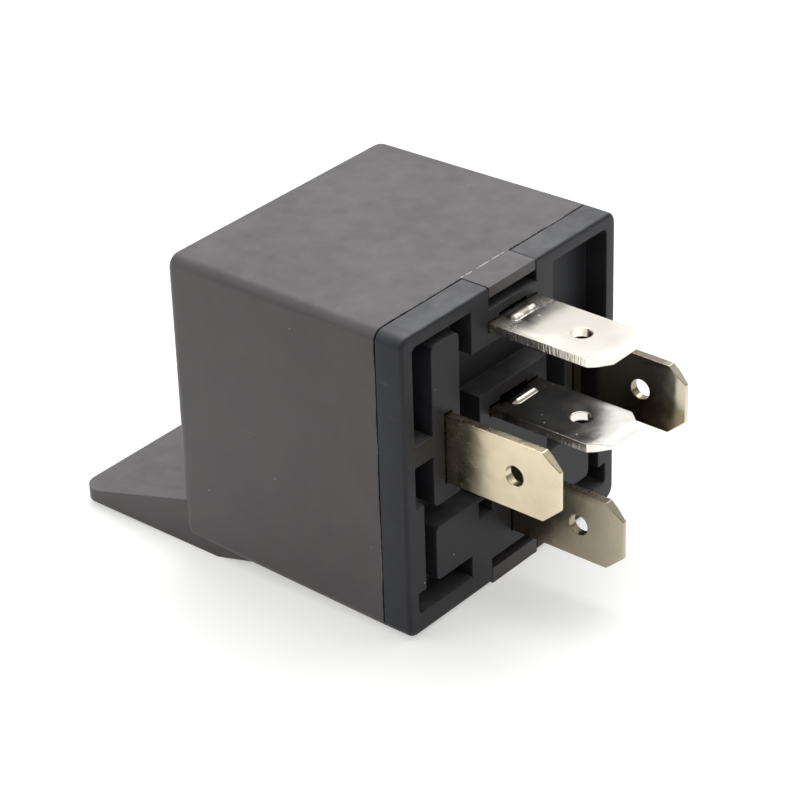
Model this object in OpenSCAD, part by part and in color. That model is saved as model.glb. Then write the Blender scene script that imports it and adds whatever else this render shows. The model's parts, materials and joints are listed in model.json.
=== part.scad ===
// Five-blade changeover relay for a car's relay socket, lying on its side.
// +X points out of the base along the blades, +Y across the width, +Z up.
// The origin is the centre of the seating face, the flat rim of the base.

/* [Housing] */
// Width of the closed housing across Y
body_w = 28.2; // [27:0.5:32]
// Height of the closed housing along Z
body_h = 28; // [27:0.5:32]
// Length of the closed housing, from the seating face to the closed end
body_l = 25.4; // [25.4:0.1:30]
// Radius of the housing's outer corners
corner_r = 1; // [0.6:0.1:2]
// Taper of the cover on each side, from its mouth to the closed end
draft = 0.3; // [0.1:0.02:0.8]
// Wall of the cover
cover_wall = 1.2; // [0.9:0.1:1.4]
// Seam left between the cover's mouth and the base flange
seam = 0.16; // [0.05:0.01:0.3]

/* [Mounting tab] */
// Width of the tab across Y
tab_w = 26.6; // [20:0.2:27]
// Reach of the tab past the closed end
tab_reach = 13.1; // [12:0.1:18]
// Thickness of the tab
tab_t = 1.25; // [1:0.05:2]
// How far the tab's underside lies below the housing's lower face
tab_drop = 0.85; // [0.7:0.05:2]
// Radius of the tab's two free corners
tab_corner_r = 1.6; // [0.5:0.1:4]
// Radius of the screw hole
tab_hole_r = 2.65; // [2:0.05:3.5]
// Distance of the screw hole from the closed end
tab_hole_out = 7; // [6:0.25:9]
// Flat length of the tab's root under the cover
root_flat = 3.3; // [1:0.1:5]
// Length of the slope from the root's flat up to the cover
root_slope = 4; // [3:0.1:9]
// Thickness of each side gusset
gusset_t = 1.8; // [1:0.1:3]
// Height of a gusset at the closed end, above the tab
gusset_h = 3.3; // [2:0.1:8]
// Distance from the tab's free edge to where a gusset starts
gusset_in = 1.9; // [0.5:0.1:4]

/* [Base] */
// Thickness of the base flange that closes the cover
flange_t = 2.7; // [2.5:0.05:3.2]
// Radius of the flange's front edge
front_r = 0.35; // [0.2:0.05:1]
// Thickness of the whole base, flange and plug
base_t = 4.8; // [4.2:0.1:5.4]
// Clearance between the plug and the cover's inner wall
plug_gap = 0.1; // [0.05:0.05:0.2]
// Depth of the recesses in the seating face
recess_d = 2.2; // [1:0.1:3]
// Rim at the two sides
rim_side = 1.3; // [1:0.05:1.8]
// Rim along the upper edge
rim_top = 1.2; // [1:0.05:1.8]
// Rim along the lower edge
rim_bottom = 1.95; // [1.5:0.05:2.4]
// Corner radius of the recesses and of the pads in them
pad_r = 0.5; // [0.2:0.05:0.8]

/* [Tongues] */
// Width of the cover's two snap tongues
tongue_w = 6.1; // [4:0.1:8]
// Clearance beside a tongue
tongue_gap = 0.08; // [0.04:0.01:0.2]
// Thickness of the upper tongue
tongue_top_t = 0.95; // [0.8:0.05:1.2]
// Thickness of the lower tongue
tongue_bottom_t = 1.45; // [1:0.05:1.6]
// How far the lower tongue stands proud of the housing
tongue_proud = 0.15; // [0:0.05:0.4]
// Depth of the slot behind a tongue
tongue_slot = 1.05; // [0.8:0.05:1.4]
// Height of the catch on the plug
catch_h = 0.5; // [0.3:0.05:0.6]
// Width of the catch
catch_w = 4.8; // [3:0.1:6]

/* [Terminals] */
// Width of a blade
blade_w = 6.3; // [6:0.1:6.5]
// Thickness of a blade
blade_t = 0.8; // [0.6:0.05:1]
// Length of a blade out of the seating face
blade_l = 11.3; // [10:0.1:13]
// Length of the lead-in at a blade's tip
lead_in = 1.6; // [1:0.1:2.5]
// Width taken off each corner of the tip
tip_cut = 1.4; // [0.5:0.1:1.8]
// Thickness of the tip edge
tip_t = 0.4; // [0.3:0.05:0.55]
// Length of the coined bevel at the tip
tip_bevel = 1; // [0.5:0.1:1.5]
// Radius of the detent hole
detent_r = 0.9; // [0.6:0.05:1.1]
// Distance of the detent hole from the tip
detent_in = 4.4; // [3:0.1:5.5]
// Distance of blade 87 below the upper face
in_87 = 3.58; // [3.4:0.02:3.8]
// Height of blade 87a above the axis of the base
z_87a = 2.64; // [2.5:0.02:2.8]
// Height of the coil blades 85 and 86 above the axis of the base
z_coil = 1.88; // [1.6:0.02:2.2]
// Distance of the coil blades from the middle plane
y_coil = 8.55; // [8.35:0.05:8.8]
// Distance of the middle of blade 30 above the lower face
in_30 = 6.96; // [6.6:0.02:7.2]
// Clearance of a blade in its slot
slot_gap = 0.1; // [0.05:0.01:0.2]
// Half width along X of the rib pressed across the root of blades 87 and 87a
rib_r = 0.6; // [0.4:0.05:0.8]
// Height of that rib
rib_h = 0.3; // [0.2:0.05:0.35]
// Length of that rib across Y
rib_w = 3.4; // [2:0.1:4]

/* [Magnet] */
// Height of the coil's axis above the lower face
coil_up = 10.2; // [10:0.1:10.5]
// Radius of the core
core_r = 3; // [2.5:0.1:3.2]
// Radius of the core's riveted end in the yoke
spigot_r = 2.4; // [1.5:0.1:2.4]
// Radius of the pole shoe
pole_r = 4.3; // [3.6:0.1:5]
// Thickness of the pole shoe
pole_t = 0.6; // [0.4:0.1:1]
// Distance of the pole face from the closed end
pole_back = 6.5; // [6.4:0.1:6.9]
// Thickness of the yoke
yoke_t = 1.4; // [1.2:0.1:1.5]
// Width of the yoke and the armature
yoke_w = 11; // [9:0.5:12]
// Reach of the yoke's foot past the coil's axis
yoke_reach = 5; // [3.5:0.1:5.2]
// Wall of the bobbin's tube
bobbin_wall = 0.8; // [0.5:0.1:0.9]
// Thickness of a bobbin flange
bobbin_flange_t = 0.8; // [0.6:0.1:1.2]
// Width of the square bobbin flanges
bobbin_w = 12.6; // [12.4:0.1:12.8]
// Radius of the winding
coil_r = 6; // [5:0.1:6.1]
// Clearance between nested parts of the magnet
fit_gap = 0.05; // [0.03:0.01:0.1]

/* [Armature and contacts] */
// Thickness of the armature
armature_t = 1.4; // [1.2:0.1:1.5]
// Reach of the armature past the coil's axis
armature_reach = 6.4; // [5:0.1:7]
// Air gap left when the armature is pulled in
air_gap = 0.03; // [0.02:0.01:0.05]
// Travel of the moving contact
contact_travel = 0.7; // [0.4:0.05:0.8]
// Distance of the contacts below blade 87
contact_down = 2.02; // [1.8:0.02:2.4]
// Radius of a contact
contact_r = 1.5; // [1:0.1:1.6]
// Height of a contact's head
contact_h = 0.55; // [0.4:0.05:0.6]
// Radius of a contact's shank
shank_r = 0.7; // [0.5:0.1:0.9]
// Gap left between closed contacts
contact_gap = 0.08; // [0.06:0.01:0.1]
// Thickness of the contact leaf and of the return leaf
leaf_t = 0.25; // [0.2:0.05:0.3]
// Width of the contact leaf
contact_leaf_w = 5; // [4:0.2:5.6]
// Width of the return leaf
return_leaf_w = 8; // [6:0.5:10]
// Radius of a leaf rivet's shank
rivet_r = 0.6; // [0.4:0.1:0.8]
// Height of a leaf rivet's head
rivet_h = 0.3; // [0.2:0.05:0.3]
// Width of the contact arms of blades 87 and 87a
arm_w = 5; // [4:0.2:6]
// Width of the riser that carries the arm of blade 87a
riser_w = 3.4; // [2.5:0.1:3.6]

/* [Coil circuit] */
// Width of the posts of blades 85 and 86
post_w = 2.4; // [1.8:0.1:3]
// Length of those posts behind the base
post_l = 5; // [4.4:0.1:7]
// Radius of the suppression resistor
resistor_r = 1.1; // [0.8:0.1:1.2]
// Length of its body
resistor_l = 6.4; // [4:0.2:9]
// Radius of its leads
lead_r = 0.3; // [0.2:0.05:0.4]
// Radius of the coil's wires
wire_r = 0.2; // [0.1:0.05:0.3]
// Thickness of the copper braid
braid_t = 0.6; // [0.4:0.1:0.8]
// Width of the copper braid
braid_w = 3; // [2:0.2:5]
// Height of the braid's arch
braid_rise = 2.1; // [1:0.1:2.4]

/* [Hidden] */
$fn = 48;
plastic = "#4b4a4c";
base_plastic = "#424347";
tin = "#cbc5b6";
steel = "#a9adb0";
copper = "#b4673a";
brass = "#c9a765";
silver = "#dcdcd8";
bead = 0.01;                                    // thickness of a slice inside a hull
hull_fn = 32;                                   // smoothness of the hulls' corners

// Housing and base
mouth_x = -flange_t - seam;                     // the cover's mouth
end_x = -body_l;                                // the closed end
inner_w = body_w - 2 * cover_wall;
inner_h = body_h - 2 * cover_wall;
end_wall_x = end_x + cover_wall;
end_round = 0.8;                                // how far the closed end's edge turns in, over its radius
taper = draft / (mouth_x - end_x);              // taper for each millimetre of depth
deck_x = -base_t;                               // inner face of the base
plug_w = inner_w - 2 * plug_gap;
plug_h = inner_h - 2 * plug_gap;
top_z = body_h / 2;
bottom_z = -top_z;
z_87 = top_z - in_87;
z_30 = bottom_z + in_30;
z_axis = bottom_z + coil_up;                    // height of the coil's axis
z_contact = z_87 - contact_down;
tongue_root = 0.2;                              // overlap of a tongue with the cover's mouth
tongue_end_x = -0.04;                           // free ends of the tongues

// Mounting tab
tab_z = bottom_z - tab_drop;                    // underside of the tab
tab_top_z = tab_z + tab_t;
tab_end_x = end_x - tab_reach;
tab_hole_x = end_x - tab_hole_out;

// Pads in the seating face, set round the blades that pass through them
pad_out = 1.95;                                 // pad outside the plane of a coil blade
pad_in = 1.55;                                  // pad inside it
pad_over = 6.8;                                 // pad of blade 86 over the blade's end
pad_over_short = 0.75;                          // the same for blade 85
pad_under = 1.65;                               // both pads below it
cavity_top = top_z - rim_top;
cavity_bottom = bottom_z + rim_bottom;
cavity_side = body_w / 2 - rim_side;
block_w = 10.8;                                 // rim block that carries blade 87
block_under = 1.55;                             // block below that blade
column_w = 9;                                   // pad that carries blade 87a
column_over = 1.95;                             // column above that blade
foot_pad_w = 11.6;                              // plain field round blade 30
low_pad_w = 20.8;                               // width across the two lower pads
low_pad_gap = 2;                                // recess below the lower pads
low_pad_over = 2.1;                             // lower pads past the end of blade 30
bar_t = 1.9;                                    // bar between rim and coil pad
step_w = 1;                                     // wider rim beside the lower pads
notch_w = 1.8;                                  // small square notch
notch_y = 3;                                    // its distance from the middle plane
notch_deep = 0.35;                              // tongue notches past the flange's back
catch_l = 1;                                    // length of a catch
catch_back = 0.55;                              // catch behind the flange

// Magnet, from the base inwards
yoke_x = deck_x - blade_t;                      // outer face of the yoke's foot
seat_x = yoke_x - yoke_t;                       // inner face of the yoke's foot
pole_x = end_x + pole_back;
leg_in_z = z_axis - bobbin_w / 2 - 0.1;         // inner face of the yoke's leg
leg_out_z = leg_in_z - yoke_t;
heel_z = leg_out_z + 0.2;                       // the armature rocks on this line
arm_low_x = pole_x - air_gap;                   // pole side of the pulled-in armature
arm_top_x = arm_low_x - armature_t;             // leaf side of the pulled-in armature
lever = z_contact - heel_z;
open_deg = atan(contact_travel / lever);        // swing of the armature

// Contacts: 87 lies under the moving contact, 87a over it
no_face_x = arm_top_x + contact_h + contact_gap;
no_arm_x = no_face_x + contact_h;               // upper face of the arm of 87
nc_face_x = arm_top_x - leaf_t - contact_h - contact_travel - contact_gap - contact_r * tan(open_deg);
nc_arm_x = nc_face_x - contact_h;               // lower face of the arm of 87a
riser_y = blade_w / 2 + 0.45;                   // side of the riser beside blade 87
turn_h = 4;                                     // height of the foot that turns out to the riser
rib_x = 0.95;                                   // middle of the ribs at the blades' roots
arm_out_z = z_contact + 0.1 - contact_r - 0.3;  // free edge of both arms

// Leaves
leaf_start_z = heel_z + 4.6;                    // contact leaf starts here
leaf_end_z = z_contact + contact_r + 0.4;
return_low_x = pole_x + 9;                      // lower end of the return leaf
rivet_x = return_low_x - 2;                     // axis of its rivet
hook_x = arm_top_x - 0.35;                      // underside of its hook
hook_reach = yoke_t + 2.5;                      // height of the hook over the yoke's back
rivet_head_r = rivet_r + 0.4;

// Coil circuit
resistor_gap = 0.23;                            // clearance between resistor and bobbin
post_z = z_axis + bobbin_w / 2 + resistor_gap + resistor_r;
ear = 0.8;                                      // widening of the coil blades behind the base
resistor_x = deck_x - 3.4;
winding_low_x = seat_x - bobbin_flange_t - fit_gap;
winding_top_x = pole_x + pole_t + bobbin_flange_t + fit_gap;

// An outline in the Y-Z plane, carried along +X
module along_x(length, x = 0)
    translate([x, 0, 0]) rotate([90, 0, 90]) linear_extrude(length) children();

// An outline in the X-Z plane, carried across Y and centred
module across_y(width, y = 0)
    translate([0, y + width / 2, 0]) rotate([90, 0, 0]) linear_extrude(width) children();

// Rectangle with round corners between two opposite corners
module round_rect(lo, hi, r) {
    translate([lo[0] + r, lo[1]]) square([hi[0] - lo[0] - 2 * r, hi[1] - lo[1]]);
    translate([lo[0], lo[1] + r]) square([hi[0] - lo[0], hi[1] - lo[1] - 2 * r]);
    for (a = [lo[0] + r, hi[0] - r], b = [lo[1] + r, hi[1] - r]) translate([a, b]) circle(r);
}

// Rounded section of the housing, drawn in by an inset on every side
module housing_section(inset)
    round_rect([-body_w / 2 + inset, bottom_z + inset], [body_w / 2 - inset, top_z - inset], corner_r,
        $fn = hull_fn);

// Cylinder along X between two depths
module rod_x(r, x0, x1, y, z)
    translate([x0, y, z]) rotate([0, 90, 0]) cylinder(r = r, h = x1 - x0);

// Block between two opposite corners
module block(lo, hi)
    translate(lo) cube(hi - lo);

// Outside of the cover, rounded at the closed end
module housing_body() {
    hull() {
        along_x(bead, mouth_x - bead) housing_section(0);
        for (a = [0:18:90])
            along_x(bead, end_x + corner_r * (1 - sin(a)))
                housing_section(draft + corner_r * (1 - cos(a)) * end_round);
    }
}

module cover_shell() {
    difference() {
        housing_body();
        hull() {
            along_x(bead, mouth_x)
                square([inner_w, inner_h], center = true);
            along_x(bead, end_wall_x)
                square([inner_w - 2 * draft, inner_h - 2 * draft], center = true);
        }
        // grooves that take the plug's catches
        for (s = [0, 1]) mirror([0, 0, s])
            block([mouth_x - catch_back - catch_l - plug_gap, -catch_w / 2 - plug_gap, plug_h / 2 - plug_gap],
                [mouth_x - catch_back + plug_gap, catch_w / 2 + plug_gap, plug_h / 2 + catch_h + plug_gap]);
    }
}

module tongues() {
    root_x = mouth_x - tongue_root;
    ramp_x = mouth_x - 1;
    low_in_z = bottom_z + tongue_bottom_t - tongue_proud;
    block([root_x, -tongue_w / 2, top_z - tongue_top_t], [tongue_end_x, tongue_w / 2, top_z]);
    across_y(tongue_w) polygon([[ramp_x, bottom_z + 0.4], [ramp_x, bottom_z + taper],
        [mouth_x, bottom_z - tongue_proud], [tongue_end_x, bottom_z - tongue_proud],
        [tongue_end_x, low_in_z], [root_x, low_in_z], [root_x, bottom_z + 0.4]]);
}

// Tab moulded on the cover's closed end, flush with its rounded outside
module mounting_tab() {
    wall_z = bottom_z + draft + cover_wall / 2;
    foot_x = end_x + root_flat;
    color(plastic) difference() {
        union() {
            translate([0, 0, tab_z]) linear_extrude(tab_t) {
                round_rect([tab_end_x, -tab_w / 2], [end_x, tab_w / 2], tab_corner_r);
                translate([end_x - 2 * tab_corner_r, -tab_w / 2])
                    square([root_flat + 2 * tab_corner_r, tab_w]);
            }
            across_y(tab_w) polygon([[end_x, tab_z], [foot_x, tab_z],
                [foot_x + root_slope, bottom_z + taper * (foot_x + root_slope - mouth_x) * -1],
                [foot_x + root_slope, wall_z], [end_x + corner_r, wall_z], [end_x, tab_top_z]]);
            for (s = [-1, 1])
                across_y(gusset_t, s * (tab_w - gusset_t) / 2)
                    polygon([[tab_end_x + gusset_in, tab_top_z - 0.1], [end_x + 1, tab_top_z - 0.1],
                        [end_x + 1, tab_top_z + gusset_h], [end_x, tab_top_z + gusset_h],
                        [tab_end_x + gusset_in, tab_top_z]]);
        }
        housing_body();
        translate([tab_hole_x, 0, tab_z - 1]) cylinder(r = tab_hole_r, h = tab_t + 2);
    }
}

module cover() {
    color(plastic) {
        cover_shell();
        tongues();
    }
}

// Flat pads that stay at the level of the rim
module face_pads() {
    coil_end = blade_w / 2;
    for (s = [-1, 1])
        mirror([s > 0 ? 1 : 0, 0]) {
            over = s < 0 ? pad_over : pad_over_short;
            round_rect([-y_coil - pad_out, z_coil - coil_end - pad_under],
                [-y_coil + pad_in, z_coil + coil_end + over], pad_r);
            translate([-cavity_side - 1, z_coil]) square([cavity_side + 1 - y_coil, bar_t]);
            translate([-cavity_side - 1, cavity_bottom + low_pad_gap])
                square([1 + step_w, z_coil - coil_end - pad_under + 1 - cavity_bottom - low_pad_gap]);
        }
    translate([-block_w / 2, z_87 - block_under]) square([block_w, top_z - z_87 + block_under]);
    translate([-column_w / 2, z_30]) square([column_w, z_87a - z_30 + column_over]);
    round_rect([-low_pad_w / 2, cavity_bottom + low_pad_gap],
        [low_pad_w / 2, z_30 + low_pad_over], pad_r);
    translate([-foot_pad_w / 2, bottom_z]) square([foot_pad_w, z_30 + low_pad_over - bottom_z]);
}

// Slot for one blade through the whole base
module blade_slot(y, z, upright) {
    long = blade_w + 2 * slot_gap;
    short = blade_t + 2 * slot_gap;
    along_x(base_t + 2, deck_x - 1)
        translate([y, z]) square(upright ? [short, long] : [long, short], center = true);
}

// Relief over the slot of a flat blade, through which its rib passes
module rib_relief(z)
    block([deck_x - 1, -rib_w / 2 - slot_gap, z],
        [1, rib_w / 2 + slot_gap, z + blade_t / 2 + rib_h + slot_gap]);

module base() {
    notch_h = tongue_top_t + tongue_slot;
    low_notch_h = tongue_bottom_t - tongue_proud + tongue_slot;
    notch = tongue_w + 2 * tongue_gap;
    color(base_plastic) difference() {
        union() {
            hull() {
                along_x(bead, -flange_t) housing_section(0);
                for (a = [0:22.5:90])
                    along_x(bead, -bead - front_r * (1 - sin(a))) housing_section(front_r * (1 - cos(a)));
            }
            block([deck_x, -plug_w / 2, -plug_h / 2], [-flange_t + bead, plug_w / 2, plug_h / 2]);
            for (s = [0, 1]) mirror([0, 0, s])
                block([mouth_x - catch_back - catch_l, -catch_w / 2, plug_h / 2 - catch_h],
                    [mouth_x - catch_back, catch_w / 2, plug_h / 2 + catch_h]);
        }
        along_x(recess_d + 1, -recess_d) difference() {
            round_rect([-cavity_side, cavity_bottom], [cavity_side, cavity_top], pad_r);
            face_pads();
        }
        // small square notch beside blade 30
        block([-recess_d, -notch_y - notch_w, z_30 + slot_gap],
            [1, -notch_y, z_30 + slot_gap + notch_w - 2 * slot_gap]);
        // notches for the two tongues
        block([-flange_t - notch_deep, -notch / 2, top_z - notch_h], [1, notch / 2, top_z + 1]);
        block([-flange_t - notch_deep, -notch / 2, bottom_z - 1], [1, notch / 2, bottom_z + low_notch_h]);
        blade_slot(0, z_87, false);
        rib_relief(z_87);
        blade_slot(0, z_87a, false);
        rib_relief(z_87a);
        blade_slot(-y_coil, z_coil, true);
        blade_slot(y_coil, z_coil, true);
        blade_slot(0, z_30, true);
    }
}

// One plug-in blade, flat in the X-Y plane, from a depth to its coined tip
module blade(root_x) {
    half = blade_w / 2;
    tip = half - tip_cut;
    difference() {
        intersection() {
            translate([0, 0, -blade_t]) linear_extrude(2 * blade_t)
                polygon([[root_x, -half], [blade_l - lead_in, -half], [blade_l, -tip], [blade_l, tip],
                    [blade_l - lead_in, half], [root_x, half]]);
            across_y(blade_w + 1) polygon([[root_x, -blade_t / 2], [blade_l - tip_bevel, -blade_t / 2],
                [blade_l, -tip_t / 2], [blade_l, tip_t / 2], [blade_l - tip_bevel, blade_t / 2],
                [root_x, blade_t / 2]]);
        }
        translate([blade_l - detent_in, 0, -blade_t]) cylinder(r = detent_r, h = 2 * blade_t);
    }
}

// Shallow rib pressed up across the root of a flat blade, with round ends
module pressed_rib(z) {
    ball_r = (rib_r * rib_r + rib_h * rib_h) / (2 * rib_h);
    side = rib_w / 2 - rib_r;
    intersection() {
        translate([rib_x, 0, z + rib_h - ball_r]) {
            for (y = [-side, side]) translate([0, y, 0]) sphere(ball_r);
            rotate([90, 0, 0]) cylinder(r = ball_r, h = 2 * side, center = true);
        }
        block([rib_x - rib_r, -rib_w / 2, z - rib_h], [rib_x + rib_r, rib_w / 2, z + rib_h + 1]);
    }
}

module terminal_87() {
    color(tin) {
        translate([0, 0, z_87]) blade(deck_x - blade_t);
        pressed_rib(z_87 + blade_t / 2);
        difference() {
            union() {
                block([no_arm_x, -blade_w / 2, z_87 - blade_t / 2], [deck_x, blade_w / 2, z_87 + blade_t / 2]);
                block([no_arm_x, -arm_w / 2, arm_out_z],
                    [no_arm_x + blade_t, arm_w / 2, z_87 + blade_t / 2]);
            }
            rod_x(shank_r, no_arm_x - 1, no_arm_x + 2, 0, z_contact);
        }
    }
}

module terminal_87a() {
    color(tin) {
        translate([0, 0, z_87a]) blade(deck_x - blade_t);
        pressed_rib(z_87a + blade_t / 2);
        block([deck_x - blade_t, -blade_w / 2, z_87a - blade_t / 2], [deck_x, riser_y + riser_w, z_87a + turn_h]);
        block([deck_x - blade_t, riser_y, z_87a], [deck_x, riser_y + riser_w, z_87 + blade_t / 2]);
        block([nc_arm_x - blade_t, riser_y, z_87 - blade_t / 2],
            [deck_x, riser_y + riser_w, z_87 + blade_t / 2]);
        difference() {
            block([nc_arm_x - blade_t, -arm_w / 2, arm_out_z],
                [nc_arm_x, riser_y + riser_w, z_87 + blade_t / 2]);
            rod_x(shank_r, nc_arm_x - 2, nc_arm_x + 1, 0, z_contact);
        }
    }
}

// Blade 85 or 86, with its post for the coil wire and the resistor
module coil_terminal(side) {
    color(tin) {
        translate([0, side * y_coil, z_coil]) rotate([90, 0, 0]) blade(deck_x - blade_t);
        block([deck_x - blade_t, side * y_coil - blade_t / 2, z_coil - blade_w / 2 - ear],
            [deck_x, side * y_coil + blade_t / 2, z_coil + blade_w / 2 + ear]);
        block([deck_x - post_l, side * y_coil - blade_t / 2, post_z - post_w / 2],
            [deck_x, side * y_coil + blade_t / 2, post_z + post_w / 2]);
    }
}

module terminal_86() {
    coil_terminal(-1);
}

module terminal_85() {
    coil_terminal(1);
}

module terminal_30() {
    color(tin) {
        translate([0, 0, z_30]) rotate([90, 0, 0]) blade(deck_x - blade_t);
        block([yoke_x, -yoke_w / 2, z_30 - blade_w / 2], [deck_x, blade_t / 2, z_30 + blade_w / 2]);
    }
}

module yoke() {
    color(steel) difference() {
        union() {
            block([seat_x, -yoke_w / 2, leg_out_z], [yoke_x, yoke_w / 2, z_axis + yoke_reach]);
            block([pole_x, -yoke_w / 2, leg_out_z], [yoke_x, yoke_w / 2, leg_in_z]);
        }
        rod_x(spigot_r + fit_gap, seat_x - 1, yoke_x + 1, 0, z_axis);
        translate([rivet_x, 0, leg_out_z - 1]) cylinder(r = rivet_r + fit_gap, h = yoke_t + 2);
    }
}

module core() {
    color(steel) {
        rod_x(spigot_r, seat_x, yoke_x, 0, z_axis);
        rod_x(core_r, pole_x, seat_x, 0, z_axis);
        rod_x(pole_r, pole_x, pole_x + pole_t, 0, z_axis);
    }
}

module bobbin() {
    bore_r = core_r + fit_gap;
    low_x = pole_x + pole_t;
    color("#e8e2d2") difference() {
        union() {
            rod_x(bore_r + bobbin_wall, low_x, seat_x, 0, z_axis);
            for (x = [low_x, seat_x - bobbin_flange_t])
                block([x, -bobbin_w / 2, z_axis - bobbin_w / 2],
                    [x + bobbin_flange_t, bobbin_w / 2, z_axis + bobbin_w / 2]);
        }
        rod_x(bore_r, low_x - 1, seat_x + 1, 0, z_axis);
    }
}

module coil_winding() {
    color(copper) difference() {
        rod_x(coil_r, winding_top_x, winding_low_x, 0, z_axis);
        rod_x(core_r + bobbin_wall + 2 * fit_gap, winding_top_x - 1, winding_low_x + 1, 0, z_axis);
    }
}

// A wire from each side of the winding up to the post beside it
module coil_wires() {
    x = winding_low_x - 1.2;
    rise = post_z - z_axis;
    run = y_coil - blade_t / 2 - coil_r;
    color(copper) for (s = [-1, 1])
        difference() {
            translate([x, s * (coil_r + wire_r), z_axis])
                rotate([-s * atan2(run - wire_r, rise), 0, 0])
                    cylinder(r = wire_r, h = norm([rise, run]));
            block([x - 1, min(s * (y_coil - blade_t / 2), s * (y_coil + 2)), z_axis],
                [x + 1, max(s * (y_coil - blade_t / 2), s * (y_coil + 2)), post_z + 3]);
        }
}

module suppression_resistor() {
    reach = y_coil - blade_t / 2;
    translate([resistor_x, 0, post_z]) rotate([90, 0, 0]) {
        color("#3f6f8c") cylinder(r = resistor_r, h = resistor_l, center = true);
        color(tin) cylinder(r = lead_r, h = 2 * reach, center = true);
    }
}

// The armature group is drawn pulled in and then swung open on its heel
module swung_open()
    translate([arm_low_x, 0, heel_z]) rotate([0, -open_deg, 0]) translate([-arm_low_x, 0, -heel_z])
        children();

module armature() {
    color(steel) swung_open() difference() {
        block([arm_top_x, -yoke_w / 2, heel_z], [arm_low_x, yoke_w / 2, z_axis + armature_reach]);
        for (y = [-1, 1]) rod_x(rivet_r, arm_top_x - 1, arm_low_x + 1, y * contact_leaf_w / 4, z_axis);
    }
}

module contact_leaf() {
    color(brass) swung_open() difference() {
        block([arm_top_x - leaf_t, -contact_leaf_w / 2, leaf_start_z],
            [arm_top_x, contact_leaf_w / 2, leaf_end_z]);
        for (y = [-1, 1]) rod_x(rivet_r, arm_top_x - 1, arm_top_x + 1, y * contact_leaf_w / 4, z_axis);
        rod_x(shank_r, arm_top_x - 1, arm_top_x + 1, 0, z_contact);
    }
}

module leaf_rivets() {
    color(steel) swung_open() for (y = [-1, 1]) {
        rod_x(rivet_r, arm_top_x - leaf_t, arm_low_x, y * contact_leaf_w / 4, z_axis);
        rod_x(rivet_head_r, arm_top_x - leaf_t - rivet_h, arm_top_x - leaf_t,
            y * contact_leaf_w / 4, z_axis);
    }
}

module moving_contact() {
    color(silver) swung_open() {
        rod_x(contact_r, arm_top_x - leaf_t - contact_h, arm_top_x - leaf_t, 0, z_contact);
        rod_x(shank_r, arm_top_x - leaf_t, arm_top_x, 0, z_contact);
        rod_x(contact_r, arm_top_x, arm_top_x + contact_h, 0, z_contact);
    }
}

module normally_open_contact() {
    color(silver) {
        rod_x(contact_r, no_face_x, no_arm_x, 0, z_contact);
        rod_x(shank_r, no_arm_x, no_arm_x + blade_t, 0, z_contact);
    }
}

module normally_closed_contact() {
    color(silver) {
        rod_x(contact_r, nc_arm_x, nc_face_x, 0, z_contact);
        rod_x(shank_r, nc_arm_x - blade_t, nc_arm_x, 0, z_contact);
    }
}

// Leaf on the yoke's back, hooked over the armature's heel to hold it and push it back
module return_leaf() {
    back_z = leg_out_z - leaf_t;
    color(brass) difference() {
        union() {
            block([hook_x - leaf_t, -return_leaf_w / 2, back_z], [return_low_x, return_leaf_w / 2, leg_out_z]);
            block([hook_x - leaf_t, -return_leaf_w / 2, back_z],
                [hook_x, return_leaf_w / 2, leg_out_z + hook_reach]);
        }
        translate([rivet_x, 0, back_z - 1]) cylinder(r = rivet_r + fit_gap, h = leaf_t + 2);
    }
}

module return_leaf_rivet() {
    color(steel) translate([rivet_x, 0, 0]) {
        translate([0, 0, leg_out_z - leaf_t]) cylinder(r = rivet_r, h = leaf_t + yoke_t);
        translate([0, 0, leg_out_z - leaf_t - rivet_h]) cylinder(r = rivet_head_r, h = rivet_h);
    }
}

// Flexible braid that arches from the hook of the return leaf to the contact leaf
module contact_braid() {
    z0 = leg_out_z + yoke_t;
    z1 = z_axis + armature_reach - fit_gap - rivet_r;
    mid = (z0 + z1) / 2;
    half = (z1 - z0) / 2;
    foot_x = hook_x - leaf_t;
    tip_x = arm_top_x - leaf_t - (z1 + braid_t - heel_z) * tan(open_deg) - fit_gap;
    steps = 16;
    function arch(t, grow) = [foot_x + (tip_x - foot_x) * t / 180 - (braid_rise + grow) * sin(t),
        mid - (half + grow) * cos(t)];
    color(copper) across_y(braid_w)
        polygon(concat([for (i = [0:steps]) arch(180 * i / steps, 0)],
            [for (i = [steps:-1:0]) arch(180 * i / steps, braid_t)]));
}

cover();
mounting_tab();
base();
terminal_87();
terminal_87a();
terminal_86();
terminal_85();
terminal_30();
yoke();
core();
bobbin();
coil_winding();
coil_wires();
suppression_resistor();
armature();
contact_leaf();
leaf_rivets();
moving_contact();
normally_open_contact();
normally_closed_contact();
return_leaf();
return_leaf_rivet();
contact_braid();
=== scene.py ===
# %% [markdown]
# # A plug-in relay for a car, dressed on its CAD frame
# The frame brings every solid of the relay in its true place, in metres. This lesson
# never moves them. It gives each one rounded edges and a finish, and makes by formula
# the few pieces whose detail is finer than a solid needs, such as the wound coil.

# %% Load the frame
import json
import math
import bmesh
import bpy
import numpy as np
from mathutils import Matrix, Vector

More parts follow.
